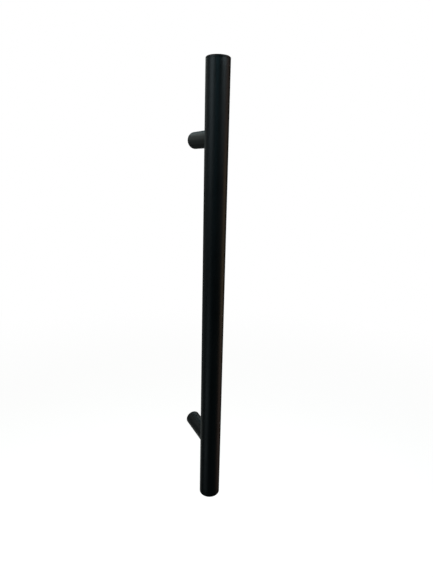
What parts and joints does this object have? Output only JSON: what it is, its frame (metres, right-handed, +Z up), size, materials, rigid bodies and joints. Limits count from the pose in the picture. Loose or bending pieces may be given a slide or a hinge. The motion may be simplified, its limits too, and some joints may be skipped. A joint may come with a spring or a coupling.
{
  "type": "door pull handle",
  "caption": "Straight round bar door pull in matt black on slimmer round posts, with saddle joints at the bar, flat capped ends and hidden fixings from the far side of the door.",
  "frame": {"origin": "on the door's face, midway between the two posts", "axes": "+Z up along the bar, +Y into the door, +X to the right of a user who faces the door"},
  "size_m": [0.03, 0.083, 0.61],
  "materials": {
    "black_coat": "matt black powder coat",
    "zinc_steel": "bright zinc plate",
    "black_oxide": "black oxide"
  },
  "bodies": {
    "root": {"bar_tube": "black_coat", "top_end_cap": "black_coat", "bottom_end_cap": "black_coat", "upper_post": "black_coat", "upper_post_screw": "zinc_steel", "upper_spring_washer": "zinc_steel", "upper_bar_nut": "zinc_steel", "upper_fixing_bush": "zinc_steel", "upper_grub_screw": "black_oxide", "lower_post": "black_coat", "lower_post_screw": "zinc_steel", "lower_spring_washer": "zinc_steel", "lower_bar_nut": "zinc_steel", "lower_fixing_bush": "zinc_steel", "lower_grub_screw": "black_oxide"}
  },
  "joints": []
}
